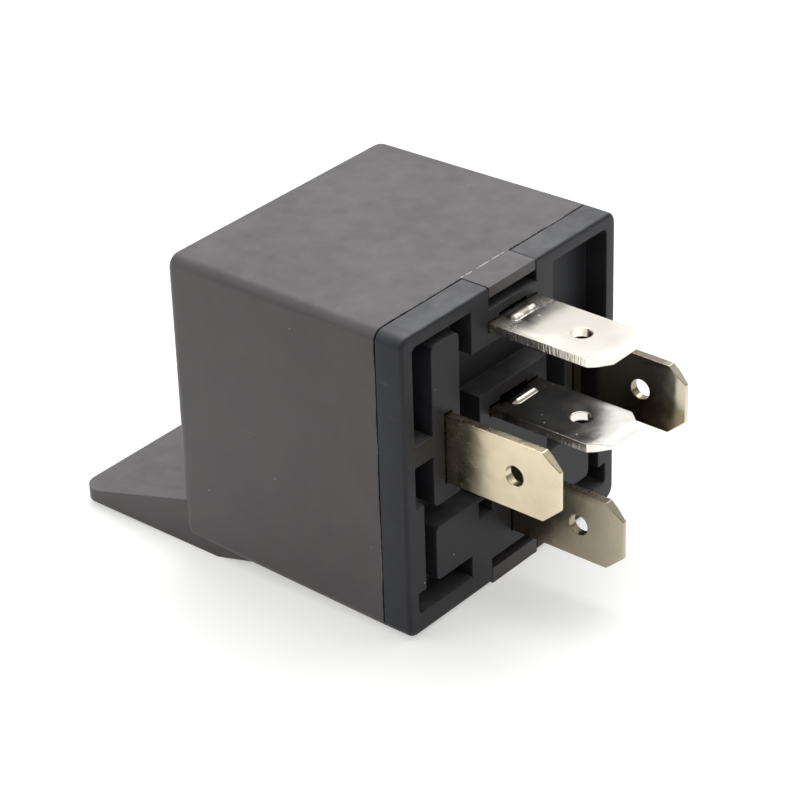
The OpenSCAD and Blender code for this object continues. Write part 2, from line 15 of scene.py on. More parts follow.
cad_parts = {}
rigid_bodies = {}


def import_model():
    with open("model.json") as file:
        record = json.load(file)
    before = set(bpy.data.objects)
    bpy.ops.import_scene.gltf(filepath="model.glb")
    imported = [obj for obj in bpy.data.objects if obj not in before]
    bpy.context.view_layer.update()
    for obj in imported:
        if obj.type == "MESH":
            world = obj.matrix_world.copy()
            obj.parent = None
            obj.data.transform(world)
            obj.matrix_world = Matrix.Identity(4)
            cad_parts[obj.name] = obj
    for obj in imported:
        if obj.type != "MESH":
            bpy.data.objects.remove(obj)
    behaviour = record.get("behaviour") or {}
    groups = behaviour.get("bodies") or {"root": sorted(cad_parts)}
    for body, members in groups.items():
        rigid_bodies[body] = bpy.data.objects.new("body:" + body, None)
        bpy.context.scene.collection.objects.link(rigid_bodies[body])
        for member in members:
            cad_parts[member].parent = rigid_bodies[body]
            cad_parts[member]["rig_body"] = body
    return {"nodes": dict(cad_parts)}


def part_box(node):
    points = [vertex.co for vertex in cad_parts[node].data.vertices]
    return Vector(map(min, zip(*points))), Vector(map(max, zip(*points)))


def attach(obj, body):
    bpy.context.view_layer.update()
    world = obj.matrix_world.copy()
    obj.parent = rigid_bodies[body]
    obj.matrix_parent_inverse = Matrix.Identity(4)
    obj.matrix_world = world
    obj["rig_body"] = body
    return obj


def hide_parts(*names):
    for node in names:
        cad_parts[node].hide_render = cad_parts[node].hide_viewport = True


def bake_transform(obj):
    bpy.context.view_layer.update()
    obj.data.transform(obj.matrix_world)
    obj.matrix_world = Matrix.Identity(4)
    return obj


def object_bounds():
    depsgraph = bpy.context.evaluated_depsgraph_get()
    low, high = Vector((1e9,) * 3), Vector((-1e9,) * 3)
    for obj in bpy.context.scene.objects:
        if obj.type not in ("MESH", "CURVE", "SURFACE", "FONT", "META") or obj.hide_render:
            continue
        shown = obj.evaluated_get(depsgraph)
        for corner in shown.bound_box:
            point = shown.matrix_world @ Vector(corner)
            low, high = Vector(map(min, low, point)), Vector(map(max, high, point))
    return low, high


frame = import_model()
cad_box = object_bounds()
nodes = frame["nodes"]
MM = 0.001

# %% [markdown]
# The camera stands where the object shows its upper, left and blade sides at once,
# about 40 degrees round and 30 degrees up, and leans by under 2 degrees. A long
# lens keeps the edges nearly parallel. Its place is worked out from these angles
# rather than typed, so that each number keeps a meaning.

# %% Camera
AZIMUTH, ELEVATION, LEAN = math.radians(40.39), math.radians(30.159), math.radians(-1.836)
DISTANCE, SHIFT_RIGHT, SHIFT_UP = 251.931 * MM, -0.545 * MM, 1.924 * MM
LENS, SENSOR = 133.50654, 36                   # both in millimetres
AIM = Vector((-12.9 * MM, 0, 0))               # middle of the housing's length

back = Vector((math.sin(AZIMUTH) * math.cos(ELEVATION),
               -math.cos(AZIMUTH) * math.cos(ELEVATION), math.sin(ELEVATION)))
level = Vector((0, 0, 1)).cross(back).normalized()
upright = back.cross(level)
right = math.cos(LEAN) * level + math.sin(LEAN) * upright
above = -math.sin(LEAN) * level + math.cos(LEAN) * upright
place = AIM + back * DISTANCE - right * SHIFT_RIGHT - above * SHIFT_UP

lens = bpy.data.cameras.new("camera")
lens.lens, lens.sensor_width = LENS, SENSOR
lens.clip_start, lens.clip_end = 0.01, 10
camera = bpy.data.objects.new("camera", lens)
bpy.context.scene.collection.objects.link(camera)
camera.matrix_world = Matrix((
    (right.x, above.x, back.x, place.x),
    (right.y, above.y, back.y, place.y),
    (right.z, above.z, back.z, place.z),
    (0, 0, 0, 1)))
bpy.context.scene.camera = camera
bpy.context.scene.view_settings.view_transform = "Standard"
print("camera at", [round(c / MM, 1) for c in place], "mm")

# %% [markdown]
# Every material is a small graph of nodes. A few helpers keep the graphs readable:
# they add a node and fill its sockets, do one sum or one mix, spread a range, and
# start a material or a shared group. A value that comes from another node is given
# as that node's output, and a plain number stays on the socket itself.

# %% Helpers for node graphs
def fill(tree, node, inputs):
    """Fills a node's sockets with outputs of other nodes or with plain values.

    A socket is named with _ for a space, or given by its number, as in i0.
    """
    for name, value in inputs.items():
        key = int(name[1:]) if name[1:].isdigit() else name.replace("_", " ")
        if isinstance(value, bpy.types.NodeSocket):
            tree.links.new(value, node.inputs[key])
        else:
            node.inputs[key].default_value = value
    return node


def add(tree, kind, settings=(), **inputs):
    """Adds a node of one kind, with its settings and its inputs."""
    node = tree.nodes.new("ShaderNode" + kind)
    for name, value in dict(settings).items():
        setattr(node, name, value)
    return fill(tree, node, inputs)


def math_node(tree, operation, a, b=0.0, clamp=False):
    """One sum, product or other operation on two values."""
    node = add(tree, "Math", {"operation": operation, "use_clamp": clamp}, i0=a, i1=b)
    return node.outputs[0]


def mix_colour(tree, factor, a, b):
    """Colour a where the factor is 0, and b where it is 1."""
    node = add(tree, "Mix", {"data_type": "RGBA"}, i0=factor, i6=a, i7=b)
    return node.outputs[2]


def spread(tree, value, low, high, to_low=0.0, to_high=1.0):
    """Spreads the range low..high over another range, held at both ends."""
    node = add(tree, "MapRange", Value=value, From_Min=low, From_Max=high,
               To_Min=to_low, To_Max=to_high)
    return node.outputs[0]


def new_material(name):
    """A material with its Principled shader, and its graph."""
    material = bpy.data.materials.new(name)
    material.use_nodes = True
    tree = material.node_tree
    return material, tree, tree.nodes["Principled BSDF"]


def new_group(name, numbers, outputs):
    """A shader group with a Vector input, number inputs and named outputs."""
    tree = bpy.data.node_groups.new(name, "ShaderNodeTree")
    tree.interface.new_socket("Vector", in_out="INPUT", socket_type="NodeSocketVector")
    for label, default in numbers.items():
        socket = tree.interface.new_socket(label, in_out="INPUT", socket_type="NodeSocketFloat")
        socket.default_value = default
    for label in outputs:
        tree.interface.new_socket(label, in_out="OUTPUT", socket_type="NodeSocketFloat")
    return tree, tree.nodes.new("NodeGroupInput"), tree.nodes.new("NodeGroupOutput")


def use_group(tree, group, **inputs):
    """Places a shader group in a graph and fills its sockets."""
    node = tree.nodes.new("ShaderNodeGroup")
    node.node_tree = group
    return fill(tree, node, inputs)


def grey(level):
    """An opaque grey of that linear level."""
    return (level, level, level, 1)


def scaled(colour, factor):
    """The same opaque colour, brighter or darker by a factor."""
    return tuple(c * factor for c in colour[:3]) + (1,)


# %% [markdown]
# Four effects come back on several pieces, so each is a group of its own: the
# fine spark-eroded grain of a moulding, dust and lint that lie on it, fine
# scratches that run one way, and blotches of tarnish on plated metal. All of them
# read Object coordinates, so the detail stays put when the relay is turned.

# %% Shader groups
def make_grain():
    """Fine grain: two octaves of noise, one at the grain and one over a few grains."""
    tree, source, result = new_group("Moulded grain", {"Size": 0.12 * MM}, ["Height", "Cloud"])
    density = math_node(tree, "DIVIDE", 1.0, source.outputs["Size"])
    fine = add(tree, "TexNoise", Vector=source.outputs["Vector"], Scale=density, Detail=3.0,
               Roughness=0.6)
    wide = add(tree, "TexNoise", Vector=source.outputs["Vector"],
               Scale=math_node(tree, "MULTIPLY", density, 0.03), Detail=4.0, Roughness=0.55)
    tree.links.new(fine.outputs[0], result.inputs["Height"])
    tree.links.new(wide.outputs[0], result.inputs["Cloud"])
    return tree


def make_dust():
    """Dust: small dots at random cell points, kept only where a cell's own number is high."""
    tree, source, result = new_group("Dust specks", {"Spacing": 1.2 * MM, "Share": 0.2, "Radius": 0.06},
                                     ["Mask"])
    cells = add(tree, "TexVoronoi", Vector=source.outputs["Vector"],
                Scale=math_node(tree, "DIVIDE", 1.0, source.outputs["Spacing"]))
    split = add(tree, "SeparateColor", Color=cells.outputs["Color"])
    chosen = math_node(tree, "LESS_THAN", split.outputs[0], source.outputs["Share"])
    reach = math_node(tree, "MULTIPLY", source.outputs["Radius"],
                      math_node(tree, "ADD", 0.4, split.outputs[1]))
    dot = math_node(tree, "LESS_THAN", cells.outputs["Distance"], reach)
    tree.links.new(math_node(tree, "MULTIPLY", chosen, dot), result.inputs["Mask"])
    return tree


def make_scratches():
    """Scratches: noise drawn out along X until its cells are long thin lines."""
    tree, source, result = new_group("Fine scratches", {"Pitch": 0.1 * MM, "Stretch": 14.0, "Cut": 0.62},
                                     ["Height", "Mask"])
    split = add(tree, "SeparateXYZ", Vector=source.outputs["Vector"])
    short = math_node(tree, "DIVIDE", split.outputs[0], source.outputs["Stretch"])
    drawn = add(tree, "CombineXYZ", X=short, Y=split.outputs[1], Z=split.outputs[2])
    lines = add(tree, "TexNoise", Vector=drawn.outputs[0],
                Scale=math_node(tree, "DIVIDE", 1.0, source.outputs["Pitch"]), Detail=2.0)
    over = math_node(tree, "SUBTRACT", lines.outputs[0], source.outputs["Cut"])
    tree.links.new(lines.outputs[0], result.inputs["Height"])
    tree.links.new(math_node(tree, "MULTIPLY", over, 12.0, clamp=True), result.inputs["Mask"])
    return tree


def make_tarnish():
    """Tarnish: torn clouds that are thickest where Depth is high and thin out with it."""
    tree, source, result = new_group("Tarnish", {"Size": 1.6 * MM, "Depth": 0.5}, ["Mask", "Bloom"])
    density = math_node(tree, "DIVIDE", 1.0, source.outputs["Size"])
    torn = add(tree, "TexNoise", Vector=source.outputs["Vector"], Scale=density, Detail=7.0,
               Roughness=0.62, Distortion=0.25)
    soft = add(tree, "TexNoise", Vector=source.outputs["Vector"],
               Scale=math_node(tree, "MULTIPLY", density, 0.35), Detail=2.0)
    over = math_node(tree, "SUBTRACT", math_node(tree, "ADD", torn.outputs[0], source.outputs["Depth"]), 1.0)
    tree.links.new(math_node(tree, "MULTIPLY", over, 5.0, clamp=True), result.inputs["Mask"])
    tree.links.new(soft.outputs[0], result.inputs["Bloom"])
    return tree


GRAIN, DUST, SCRATCHES, TARNISH = make_grain(), make_dust(), make_scratches(), make_tarnish()
print("shader groups:", sorted(g.name for g in bpy.data.node_groups))

# %% [markdown]
# The housing is moulded from a dark glass-filled nylon. Its skin is matt with a
# fine grain, clouded a little by handling. What faces up is lightened grey, partly
# by a thin layer of dust and partly as a painted sheen of the light from above, and
# a few pale specks sit on it. The base is a cooler, darker and duller batch, so both
# come from one recipe with different values.

# %% Moulded plastics
FINE_GRAIN, BLOT_GRAIN = 0.16 * MM, 0.05 * MM
# The first grey is a painted sheen on upward faces, mixed with a little dust.
SHEEN_AND_DUST_GREY, RUB_GREY, SPECK_GREY = grey(0.42), grey(0.35), grey(0.75)


def moulded_plastic(name, dark, light, roughness, dust_share=0.0, sheen_and_dust=0.0, gloss=0.5):
    """Matt moulding: two close tones, a fine grain, faint rubs, pale specks and a lighter grey on top.

    The grey on top is partly dust and partly a painted sheen. It is strongest where a face looks
    straight up: its share is the upward part of the object's own normal, taken from 0.6 to 1,
    times a cloudy noise.
    """
    material, tree, shader = new_material(name)
    coordinates = add(tree, "TexCoord")
    where = coordinates.outputs["Object"]
    grain = use_group(tree, GRAIN, Vector=where, Size=FINE_GRAIN)
    blot = use_group(tree, GRAIN, Vector=where, Size=BLOT_GRAIN)
    rub = use_group(tree, SCRATCHES, Vector=where, Pitch=0.35 * MM, Stretch=9.0, Cut=0.70)
    dust = use_group(tree, DUST, Vector=where, Spacing=1.3 * MM, Share=dust_share, Radius=0.045)
    tone = mix_colour(tree, spread(tree, grain.outputs["Cloud"], 0.35, 0.65), dark, light)
    # Painted sheen: faces that look up are lightened towards a grey, partly dust and partly the light from
    # above.
    upward = add(tree, "SeparateXYZ", Vector=coordinates.outputs["Normal"]).outputs[2]
    sheen_and_dust_share = math_node(tree, "MULTIPLY", spread(tree, upward, 0.6, 1.0, 0.0, sheen_and_dust),
                        spread(tree, blot.outputs["Cloud"], 0.3, 0.7, 0.6, 1.4))
    sheen_and_dust_tone = mix_colour(tree, sheen_and_dust_share, tone, SHEEN_AND_DUST_GREY)
    rubbed = mix_colour(tree, math_node(tree, "MULTIPLY", rub.outputs["Mask"], 0.08), sheen_and_dust_tone, RUB_GREY)
    dusty = mix_colour(tree, math_node(tree, "MULTIPLY", dust.outputs["Mask"], 0.7), rubbed, SPECK_GREY)
    tree.links.new(dusty, shader.inputs["Base Color"])
    matt = spread(tree, grain.outputs["Cloud"], 0.3, 0.7, roughness - 0.05, roughness + 0.05)
    tree.links.new(matt, shader.inputs["Roughness"])
    shader.inputs["Specular IOR Level"].default_value = gloss
    bump = add(tree, "Bump", Strength=0.35, Distance=0.02 * MM, Height=grain.outputs["Height"])
    tree.links.new(bump.outputs[0], shader.inputs["Normal"])
    return material


cover_plastic = moulded_plastic("cover_plastic", (0.050, 0.043, 0.044, 1), (0.072, 0.063, 0.065, 1), 0.50,
                                dust_share=0.05, sheen_and_dust=0.09)
base_plastic = moulded_plastic("base_plastic", (0.025, 0.026, 0.030, 1), (0.034, 0.035, 0.040, 1), 0.44,
                               dust_share=0.03, sheen_and_dust=0.14, gloss=0.22)
print("plastics:", cover_plastic.name, base_plastic.name)

# %% [markdown]
# Where the cover's snap tongue leaves its mouth, a fine pale line lies on the
# upper face, broken here and there. It is partly a whitened witness of the mould and
# partly a painted highlight of the lip catching the light from above. It is far too
# shallow for geometry, so the cover's finish carries it: three masks are multiplied,
# one for each of X, Y and Z, and a noise takes bites out of the line. A second noise
# sways it a little.

# %% Witness line and painted highlight across the tongue's root
FLANGE, SEAM = 2.7 * MM, 0.16 * MM             # base flange and the seam behind it
MOUTH_X = -FLANGE - SEAM
TONGUE_HALF = 3.05 * MM                        # half the tongue's width
LINE_HALF, LINE_SWAY = 0.05 * MM, 0.05 * MM
# Pale grey of the witness line and of its painted highlight.
LINE_HIGHLIGHT_GREY = grey(0.55)


def witness_line_and_highlight(material):
    """Adds a pale broken band at the mouth to a finish, on the upper face and over the tongue only: a
    witness line with a painted highlight.
    """
    tree = material.node_tree
    colour = tree.nodes["Principled BSDF"].inputs["Base Color"]
    under = colour.links[0].from_socket
    where = add(tree, "TexCoord").outputs["Object"]
    place = add(tree, "SeparateXYZ", Vector=where)
    sway = add(tree, "TexNoise", Vector=where, Scale=0.5 / MM, Detail=2.0)
    at = math_node(tree, "ADD", place.outputs[0],
                   spread(tree, sway.outputs[0], 0.3, 0.7, -LINE_SWAY, LINE_SWAY))
    off = math_node(tree, "ABSOLUTE", math_node(tree, "SUBTRACT", at, MOUTH_X))
    band = spread(tree, off, 0.4 * LINE_HALF, LINE_HALF, 1.0, 0.0)
    over = math_node(tree, "LESS_THAN", math_node(tree, "ABSOLUTE", place.outputs[1]), TONGUE_HALF)
    upper = math_node(tree, "GREATER_THAN", place.outputs[2], cad_box[1][2] - LINE_HALF)
    bites = add(tree, "TexNoise", Vector=where, Scale=1.1 / MM, Detail=1.0)
    whole = spread(tree, bites.outputs[0], 0.40, 0.52)
    mask = math_node(tree, "MULTIPLY", math_node(tree, "MULTIPLY", band, over),
                     math_node(tree, "MULTIPLY", upper, whole))
    # Painted highlight: the pale band stands partly for light caught on the lip of the mouth.
    tree.links.new(mix_colour(tree, mask, under, LINE_HIGHLIGHT_GREY), colour)


witness_line_and_highlight(cover_plastic)
print("mouth of the cover at x =", round(MOUTH_X / MM, 2), "mm")

# %% [markdown]
# The blades are stamped brass with a bright tin coat. Tin keeps the fine lines
# of the rolled strip and mirrors softly. Towards the root it is darker grey and
# brown. Two marks make that: a smooth painted shade that fades with the distance
# along the blade, standing for the shade where the blade leaves the base and, on
# blades 85 and 30, for shade and dark reflection far up the blade; and a torn stain
# whose edge the noise breaks up. On the sheared edges the punch leaves short lines
# across the strip.

# %% Tinned blades
# The first colour is painted shade and dark reflection on the tin; the second is a torn stain.
SHADED_TIN, TORN_TIN, SPECK_WHITE = (0.17, 0.125, 0.09, 1), (0.10, 0.085, 0.07, 1), grey(0.8)
LEAST_STAIN = 0.18                             # depth at which the torn stain is gone


def tinned(name, tint, root_shade, torn, across="Z", roughness=0.2, specks=0.0):
    """Tin coat on a blade.

    The two stains are each (share, from, to): how strong it is at the root, and between which
    two distances along X, in millimetres, it fades to nothing. The first is a smooth painted
    shade: shade where the blade leaves the base, and shade and dark reflection far up blades
    85 and 30. The second is a torn stain. across is the thin direction.
    """
    material, tree, shader = new_material(name)
    coordinates = add(tree, "TexCoord")
    where = coordinates.outputs["Object"]
    place = add(tree, "SeparateXYZ", Vector=where)
    facing = add(tree, "SeparateXYZ", Vector=coordinates.outputs["Normal"])
    depth = spread(tree, place.outputs[0], torn[1] * MM, torn[2] * MM, torn[0], LEAST_STAIN)
    stain = use_group(tree, TARNISH, Vector=where, Size=0.9 * MM, Depth=depth)
    # Painted shade: a smooth darkening towards the root, standing for shade at the base and for dark
    # reflection on blades 85 and 30.
    painted_shade = spread(tree, math_node(tree, "ADD", place.outputs[0],
                                  spread(tree, stain.outputs["Bloom"], 0.3, 0.7, -0.5 * MM, 0.5 * MM)),
                  root_shade[1] * MM, root_shade[2] * MM, root_shade[0], 0.0)
    dots = use_group(tree, DUST, Vector=where, Spacing=0.45 * MM, Share=specks, Radius=0.13)
    clean = mix_colour(tree, spread(tree, stain.outputs["Bloom"], 0.35, 0.65), tint, scaled(tint, 0.9))
    shaded_tone = mix_colour(tree, painted_shade, clean, SHADED_TIN)
    worn = mix_colour(tree, math_node(tree, "MULTIPLY", stain.outputs["Mask"], 0.8), shaded_tone, TORN_TIN)
    dotted = mix_colour(tree, dots.outputs["Mask"], worn, SPECK_WHITE)
    tree.links.new(dotted, shader.inputs["Base Color"])
    tree.links.new(math_node(tree, "SUBTRACT", 1.0, dots.outputs["Mask"]), shader.inputs["Metallic"])

    thin, wide = (2, 1) if across == "Z" else (1, 2)
    edge = spread(tree, math_node(tree, "ABSOLUTE", facing.outputs[wide]), 0.6, 0.9)
    turned = add(tree, "CombineXYZ", X=place.outputs[thin], Y=place.outputs[0], Z=place.outputs[wide])
    sheared = use_group(tree, SCRATCHES, Vector=turned.outputs[0], Pitch=0.16 * MM, Stretch=6.0, Cut=0.5)
    lines = use_group(tree, SCRATCHES, Vector=where, Pitch=0.07 * MM, Stretch=22.0, Cut=0.6)
    smooth = spread(tree, stain.outputs["Bloom"], 0.3, 0.7, roughness - 0.04, roughness + 0.06)
    rough = math_node(tree, "ADD", smooth, math_node(tree, "MULTIPLY", stain.outputs["Mask"], 0.22))
    tree.links.new(rough, shader.inputs["Roughness"])
    fine = math_node(tree, "ADD", stain.outputs["Bloom"],
                     math_node(tree, "MULTIPLY", lines.outputs["Height"], 0.05))
    coarse = math_node(tree, "MULTIPLY", math_node(tree, "MULTIPLY", sheared.outputs["Height"], edge), 1.1)
    bump = add(tree, "Bump", Strength=0.5, Distance=0.05 * MM,
               Height=math_node(tree, "ADD", fine, coarse))
    tree.links.new(bump.outputs[0], shader.inputs["Normal"])
    return material


# The tints differ from blade to blade although all are the same tin: the darker, yellower tints of 86 and 30
# are partly painted reflection and shade.
blade_finish = {
    "terminal_87": tinned("tinned_blade_87", (0.90, 0.86, 0.77, 1), (0.15, 0.2, 2.0), (0.66, 1.2, 3.4)),
    "terminal_87a": tinned("tinned_blade_87a", (0.84, 0.81, 0.77, 1), (0.80, 0.6, 3.4), (0.50, 1.0, 4.0),
                           roughness=0.16, specks=0.16),
    "terminal_86": tinned("tinned_blade_86", (0.70, 0.615, 0.44, 1), (0.80, 0.3, 2.8), (0.46, 1.8, 3.4),
                          across="Y", roughness=0.24),
    "terminal_85": tinned("tinned_blade_85", (0.68, 0.63, 0.49, 1), (0.70, 9.2, 10.3), (0.34, 1.0, 6.0),
                          across="Y", roughness=0.15),
    "terminal_30": tinned("tinned_blade_30", (0.46, 0.405, 0.305, 1), (0.72, 2.0, 10.0), (0.40, 1.0, 5.0),
                          across="Y", roughness=0.26),
}
print("blade finishes:", len(blade_finish))

# %% [markdown]
# Inside sit the magnet and the contacts. They can't be seen while the housing is
# closed, yet they belong to the relay, so each has its own plain finish: zinc on
# the iron, rolled bronze for the springs, silver for the contacts, natural nylon
# for the bobbin, enamel for the wire, bare copper for the braid and lacquer for the
# resistor. The last finish here does show: it is the pale torn edge of the flash,
# whose light tone is partly whitened nylon and partly a painted highlight.

# %% Inner finishes
def plated(name, tint, roughness, pitch):
    """Plated or rolled metal: fine lines from the roll and a faint bloom."""
    material, tree, shader = new_material(name)
    where = add(tree, "TexCoord").outputs["Object"]
    lines = use_group(tree, SCRATCHES, Vector=where, Pitch=pitch * MM, Stretch=18.0, Cut=0.58)
    grain = use_group(tree, GRAIN, Vector=where, Size=0.3 * MM)
    tone = mix_colour(tree, spread(tree, grain.outputs["Cloud"], 0.3, 0.7), tint, scaled(tint, 0.82))
    tree.links.new(tone, shader.inputs["Base Color"])
    shader.inputs["Metallic"].default_value = 1.0
    tree.links.new(spread(tree, lines.outputs["Height"], 0.3, 0.7, roughness - 0.07, roughness + 0.07),
                   shader.inputs["Roughness"])
    bump = add(tree, "Bump", Strength=0.3, Distance=0.02 * MM, Height=lines.outputs["Height"])
    tree.links.new(bump.outputs[0], shader.inputs["Normal"])
    return material


zinc = plated("zinc_steel", (0.60, 0.62, 0.64, 1), 0.34, 0.12)
bronze = plated("spring_bronze", (0.72, 0.48, 0.22, 1), 0.24, 0.08)
silver = plated("contact_silver", (0.86, 0.86, 0.82, 1), 0.20, 0.05)
enamel = plated("enamelled_copper", (0.62, 0.25, 0.09, 1), 0.26, 0.10)
copper = plated("bare_copper", (0.78, 0.40, 0.22, 1), 0.30, 0.05)
nylon = moulded_plastic("bobbin_plastic", (0.74, 0.70, 0.60, 1), (0.80, 0.77, 0.67, 1), 0.42)
lacquer = moulded_plastic("resistor_body", (0.05, 0.16, 0.28, 1), (0.07, 0.19, 0.32, 1), 0.30)
# Partly painted highlight: the light tone stands for whitened nylon and for light caught on the torn lip.
torn_edge_and_highlight = moulded_plastic("torn_edge_and_highlight", (0.05, 0.047, 0.047, 1), (0.34, 0.33, 0.32, 1), 0.55)
print("inner finishes: 5 metals and 3 plastics")

# %% [markdown]
# A solid's edges are perfectly sharp, and no real edge is: a moulding has a small
# radius, and a stamped blade is burred on one side and rolled over on the other.
# These thin edges catch the light and give a piece its scale. So each CAD solid is
# copied, its loose triangles are joined, its flat faces are cleared of
# triangle lines, and a Bevel modifier rounds the edges by a tenth of a millimetre
# or so. The copy then stands for the solid.

# %% Finished copies of the solids
MERGE, FLAT_ANGLE, EDGE_ANGLE, EDGE_STEPS = 0.0005 * MM, math.radians(0.5), math.radians(28), 2


def finished_copy(node, material, edge):
    """Copies a CAD node, joins it, clears its flats, and rounds its edges by a width in millimetres."""
    mesh = nodes[node].data.copy()
    mesh.name = node + "_finished"
    work = bmesh.new()
    work.from_mesh(mesh)
    bmesh.ops.remove_doubles(work, verts=work.verts, dist=MERGE)
    bmesh.ops.dissolve_limit(work, angle_limit=FLAT_ANGLE, verts=work.verts, edges=work.edges)
    for face in work.faces:
        face.smooth = True
    work.to_mesh(mesh)
    work.free()
    if "custom_normal" in mesh.attributes:
        mesh.attributes.remove(mesh.attributes["custom_normal"])
    piece = bpy.data.objects.new(node + "_finished", mesh)
    bpy.context.scene.collection.objects.link(piece)
    mesh.materials.clear()
    mesh.materials.append(material)
    bevel = piece.modifiers.new("edge", "BEVEL")
    bevel.width, bevel.segments = edge * MM, EDGE_STEPS
    bevel.limit_method, bevel.angle_limit = "ANGLE", EDGE_ANGLE
    bevel.use_clamp_overlap, bevel.harden_normals = True, True
    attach(piece, nodes[node]["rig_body"])
    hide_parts(node)
    print(piece.name, len(mesh.polygons), "faces, edge", edge, "mm")


finished_copy("cover", cover_plastic, 0.10)
finished_copy("mounting_tab", cover_plastic, 0.12)
finished_copy("base", base_plastic, 0.08)
for name, finish in blade_finish.items():
    finished_copy(name, finish, 0.07)

# %% [markdown]
# The solids inside get the same treatment. The contacts have the widest edge, then
# come stamped iron and the bobbin, and the thin springs and fine wires have the
# narrowest, so that a bevel never meets the one on its far side.

# %% Finishes of the inner solids
inner = {"yoke": (zinc, 0.10), "core": (zinc, 0.08), "bobbin": (nylon, 0.08), "armature": (zinc, 0.10),
         "contact_leaf": (bronze, 0.03), "leaf_rivets": (zinc, 0.08), "moving_contact": (silver, 0.12),
         "normally_open_contact": (silver, 0.12), "normally_closed_contact": (silver, 0.12),
         "return_leaf": (bronze, 0.03), "return_leaf_rivet": (zinc, 0.08), "coil_wires": (enamel, 0.02)}
for name, (finish, edge) in inner.items():
    finished_copy(name, finish, edge)
print("inner solids dressed:", len(inner))

# %% [markdown]
# The rest is made by formula. A point grid stands for a surface: its rows run
# along the piece and its columns go round it. One function joins such a grid into
# quads for every piece below, so each piece only has to say where its points are.

# %% Surfaces from grids of points
def surface(name, grid, along=False):
    """Joins a grid of points, rows by columns by XYZ, into quads that close round the columns.

    With along, the last row also joins the first. Otherwise each end is closed by a fan to its
    middle. The faces are turned over if the enclosed volume, the sum of a . (b x c) over the
    triangles, comes out negative.
    """
    rows, columns = grid.shape[:2]
    points = grid.reshape(-1, 3)
    index = np.arange(rows * columns).reshape(rows, columns)
    corners = [index, np.roll(index, -1, 1), np.roll(index, (-1, -1), (0, 1)), np.roll(index, -1, 0)]
    quads = np.stack(corners, -1)[:rows if along else rows - 1].reshape(-1, 4)
    fans = []
    if not along:
        points = np.vstack([points, grid[0].mean(0), grid[-1].mean(0)])
        for ring, middle in ((index[0][::-1], len(points) - 2), (index[-1], len(points) - 1)):
            fans += np.stack([ring, np.roll(ring, -1), np.full(columns, middle)], -1).tolist()
    a, b, c, d = (points[quads[:, k]] for k in range(4))
    volume = np.einsum("ij,ij->", a, np.cross(b, c)) + np.einsum("ij,ij->", a, np.cross(c, d))
    faces = quads.tolist() + fans
    if volume < 0:
        faces = [face[::-1] for face in faces]
    mesh = bpy.data.meshes.new(name)
    mesh.from_pydata(points.tolist(), [], faces)
    mesh.polygons.foreach_set("use_smooth", np.ones(len(faces), bool))
    mesh.update()
    return mesh


def place_piece(mesh, material, node, stands_for=True, rides=True):
    """Makes a mesh a piece that rides with a CAD node's body, and stands for that node or only joins it.
    """
    piece = bpy.data.objects.new(mesh.name, mesh)
    bpy.context.scene.collection.objects.link(piece)
    mesh.materials.append(material)
    if rides:
        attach(piece, nodes[node]["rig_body"])
    if stands_for:
        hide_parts(node)
    print(piece.name, len(mesh.vertices), "points,", len(mesh.polygons), "faces")
    return piece


def box_mm(node):
    """A CAD node's lowest and highest corner as arrays."""
    low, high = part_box(node)
    return np.array(low), np.array(high)


# %% [markdown]
# When a cover is pressed over its base, the thin flash left at the cover's mouth
# is bent and torn, and shows as a wavy pale thread in the dark seam. Its pale tone
# is partly whitened nylon and partly a painted highlight of the torn lip. It is a
# small bead carried round the housing's outline. Its reach into the seam is a sum
# of waves with whole numbers of turns, so the ends of the bead meet.

# %% Flash in the seam
CORNER = 1.0 * MM                              # radius of the housing's outer corners
OUTLINE_STEP = 0.12 * MM
FLASH_HALF, FLASH_SINK = 0.045 * MM, 0.012 * MM  # half its depth, and how far it lies below the face
MEAN_REACH, SLOW_REACH, TORN_REACH = 0.03 * MM, 0.04 * MM, 0.06 * MM
LEAST_REACH, MOST_REACH = 0.01 * MM, 0.10 * MM


def housing_outline():
    """Points of the housing's section in Y and Z, and the outward direction at each.

    Every quarter is an arc about a corner's centre, and then a straight side to the next arc.
    """
    half = box_mm("base")[1][1:]
    points, outward = [], []
    for quarter in range(4):
        turn = np.linspace(quarter, quarter + 1, 12) * math.pi / 2
        direction = np.stack([np.cos(turn), np.sin(turn)], -1)
        middle = math.pi / 2 * (quarter + 0.5)
        centre = (half - CORNER) * np.sign([math.cos(middle), math.sin(middle)])
        arc = centre + CORNER * direction
        following = middle + math.pi / 2
        next_centre = (half - CORNER) * np.sign([math.cos(following), math.sin(following)])
        reach = next_centre + CORNER * direction[-1] - arc[-1]
        count = int(np.linalg.norm(reach) / OUTLINE_STEP)
        share = np.linspace(0, 1, count, endpoint=False)[1:, None]
        points += [arc, arc[-1] + share * reach]
        outward += [direction, np.repeat(direction[-1:], count - 1, 0)]
    return np.vstack(points), np.vstack(outward)


def waves(share, turns, draws):
    """A smooth wavy value from -1 to 1 along a closed path: a sum of sines with whole turns."""
    phase = draws.uniform(0, 2 * math.pi, len(turns))
    size = draws.uniform(0.5, 1.0, len(turns))
    angle = 2 * math.pi * np.outer(share, turns) + phase
    return (np.sin(angle) * size).sum(1) / size.sum()


